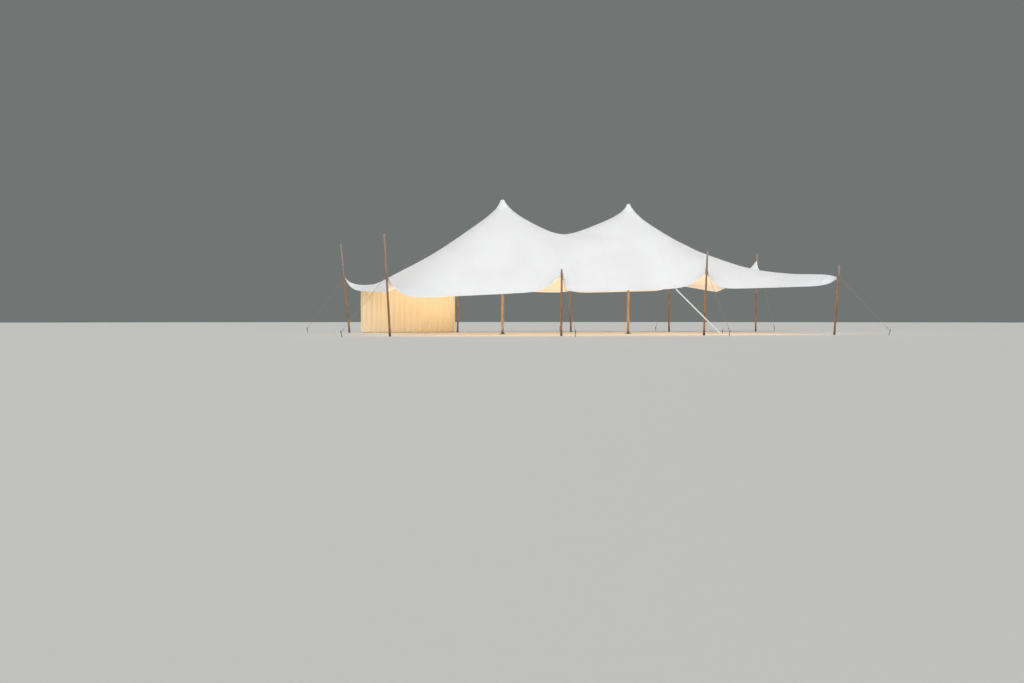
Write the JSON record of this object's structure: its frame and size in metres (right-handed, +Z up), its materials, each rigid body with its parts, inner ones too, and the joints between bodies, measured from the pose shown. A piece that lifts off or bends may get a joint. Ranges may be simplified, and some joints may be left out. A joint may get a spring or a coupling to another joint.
{
  "type": "stretch tent",
  "caption": "Open stretch tent: one elastic off-white canopy over two peaks, tied to rustic timber poles, with rope stays and one cloth side wall.",
  "frame": {"origin": "centre of the footprint, stays and stakes included, on the ground", "axes": "+X along the line of the two king poles, +Y from the open front to the back, +Z up"},
  "size_m": [23.6068, 14.0422, 5.5],
  "materials": {
    "canopy_fabric": "off-white stretch fabric",
    "wall_fabric": "cream cloth",
    "pole_timber": "peeled rustic pole, weathered",
    "king_timber": "turned timber, oiled",
    "rope": "twisted natural rope",
    "white_webbing": "woven strap",
    "dark_steel": "dark, worn"
  },
  "bodies": {
    "root": {"back_left_wall": "wall_fabric", "canopy": "canopy_fabric", "front_strap": "white_webbing", "king_foot_plate_left": "dark_steel", "king_foot_plate_right": "dark_steel", "king_head_left": "king_timber", "king_head_right": "king_timber", "king_pole_left": "king_timber", "king_pole_right": "king_timber", "lashing_back_left": "rope", "lashing_back_middle_left": "rope", "lashing_back_middle_right": "rope", "lashing_back_right": "rope", "lashing_back_wall": "rope", "lashing_front_left": "rope", "lashing_front_middle": "rope", "lashing_front_right": "rope", "lashing_right_end": "rope", "pole_back_left": "pole_timber", "pole_back_middle_left": "pole_timber", "pole_back_middle_right": "pole_timber", "pole_back_right": "pole_timber", "pole_back_wall": "pole_timber", "pole_front_left": "pole_timber", "pole_front_middle": "pole_timber", "pole_front_right": "pole_timber", "pole_right_end": "pole_timber", "stake_back_left": "dark_steel", "stake_back_middle_left": "dark_steel", "stake_back_middle_right": "dark_steel", "stake_back_right": "dark_steel", "stake_back_wall": "dark_steel", "stake_front_left": "dark_steel", "stake_front_middle": "dark_steel", "stake_front_right": "dark_steel", "stake_front_strap": "dark_steel", "stake_right_end": "dark_steel", "stay_back_left": "rope", "stay_back_middle_left": "rope", "stay_back_middle_right": "rope", "stay_back_right": "rope", "stay_back_wall": "rope", "stay_front_left": "rope", "stay_front_middle": "rope", "stay_front_right": "rope", "stay_right_end": "rope"}
  },
  "joints": []
}
